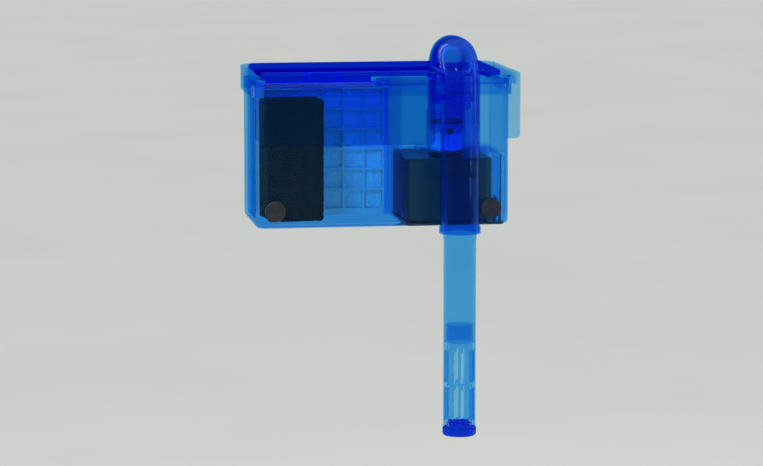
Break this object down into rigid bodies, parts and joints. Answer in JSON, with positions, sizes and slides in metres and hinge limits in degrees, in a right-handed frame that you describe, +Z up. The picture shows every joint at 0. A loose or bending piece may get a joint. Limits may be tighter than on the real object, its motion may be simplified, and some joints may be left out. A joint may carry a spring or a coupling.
{
  "type": "hang on back filter",
  "caption": "Small aquarium filter that hangs over the tank's rim, with a lift-off lid, overflow apron, media chamber, pump and telescopic intake.",
  "frame": {"origin": "middle of the face that rests on the top edge of the tank's glass, at the mid-plane of the glass", "axes": "+Z up, +Y away from the tank towards the back of the box, +X along the glass towards the intake side"},
  "size_m": [0.104, 0.0742, 0.1557],
  "materials": {
    "light_blue_plastic": "clear glossy, tinted light blue",
    "mid_blue_plastic": "clear glossy, tinted mid blue",
    "deep_blue_plastic": "clear glossy, tinted deep blue",
    "black_plastic": "fine moulded texture",
    "white_plastic": "natural moulded plastic",
    "black_rubber": "matt rubber",
    "black_resin": "cast resin",
    "iron": "stamped sheets",
    "copper_wire": "enamelled wire",
    "steel": "ground",
    "magnet": "sintered",
    "white_floss": "fibre floss",
    "black_carbon": "carbon-loaded felt",
    "black_foam": "open-cell foam"
  },
  "bodies": {
    "housing": {"filter_box": "light_blue_plastic", "hanger_frame": "light_blue_plastic", "spillway_apron": "mid_blue_plastic", "glass_bumpers": "black_rubber", "chamber_divider": "light_blue_plastic", "base_plate": "black_plastic", "base_screws": "steel", "motor_housing": "black_plastic", "neck_seal": "black_rubber", "potting_resin": "black_resin", "stator_core": "iron", "coil_bobbin": "white_plastic", "motor_coil": "copper_wire", "cable_gland": "black_rubber", "motor_pads": "black_rubber", "impeller_shaft": "steel", "lower_bush": "black_rubber"},
    "lid": {"lid": "deep_blue_plastic"},
    "cartridge": {"cartridge_frame": "white_plastic", "cartridge_back": "white_plastic", "floss_pad": "white_floss", "carbon_pad": "black_carbon"},
    "foam": {"foam_block": "black_foam"},
    "pump_cover": {"impeller_cover": "light_blue_plastic", "upper_bush": "black_rubber"},
    "rotor": {"rotor_magnet": "magnet", "impeller": "white_plastic"},
    "intake": {"intake_tube": "deep_blue_plastic", "intake_seal": "black_rubber"},
    "valve": {"flow_lever": "deep_blue_plastic", "valve_disc": "deep_blue_plastic"},
    "extension": {"extension_tube": "light_blue_plastic"},
    "strainer": {"strainer": "light_blue_plastic", "strainer_cap": "deep_blue_plastic"}
  },
  "joints": [
    {"name": "lid_lift", "type": "slide", "parent": "housing", "child": "lid", "axis": [0, 0, 1], "range_m": [0, 0.08]},
    {"name": "cartridge_lift", "type": "slide", "parent": "housing", "child": "cartridge", "axis": [0, 0, 1], "range_m": [0, 0.062]},
    {"name": "foam_lift", "type": "slide", "parent": "housing", "child": "foam", "axis": [0, 0, 1], "range_m": [0, 0.058]},
    {"name": "cover_twist", "type": "hinge", "parent": "housing", "child": "pump_cover", "pos_m": [0.027, 0.0155, -0.024], "axis": [0, 0, 1], "range_deg": [0, 25]},
    {"name": "impeller_spin", "type": "hinge", "parent": "housing", "child": "rotor", "pos_m": [0.027, 0.0155, -0.04], "axis": [0, 0, 1], "continuous": true},
    {"name": "intake_lift", "type": "slide", "parent": "housing", "child": "intake", "axis": [0, 0, 1], "range_m": [0, 0.022]},
    {"name": "flow_valve", "type": "hinge", "parent": "intake", "child": "valve", "pos_m": [0.027, -0.0155, -0.004], "axis": [1, 0, 0], "range_deg": [0, 85]},
    {"name": "extension_slide", "type": "slide", "parent": "intake", "child": "extension", "axis": [0, 0, 1], "range_m": [0, 0.02]},
    {"name": "strainer_pull", "type": "slide", "parent": "extension", "child": "strainer", "axis": [0, 0, -1], "range_m": [0, 0.012]}
  ],
  "couplings": [
    {"joint": "cartridge_lift", "follows": "lid_lift", "ratio": 0.75},
    {"joint": "foam_lift", "follows": "lid_lift", "ratio": 0.7}
  ]
}
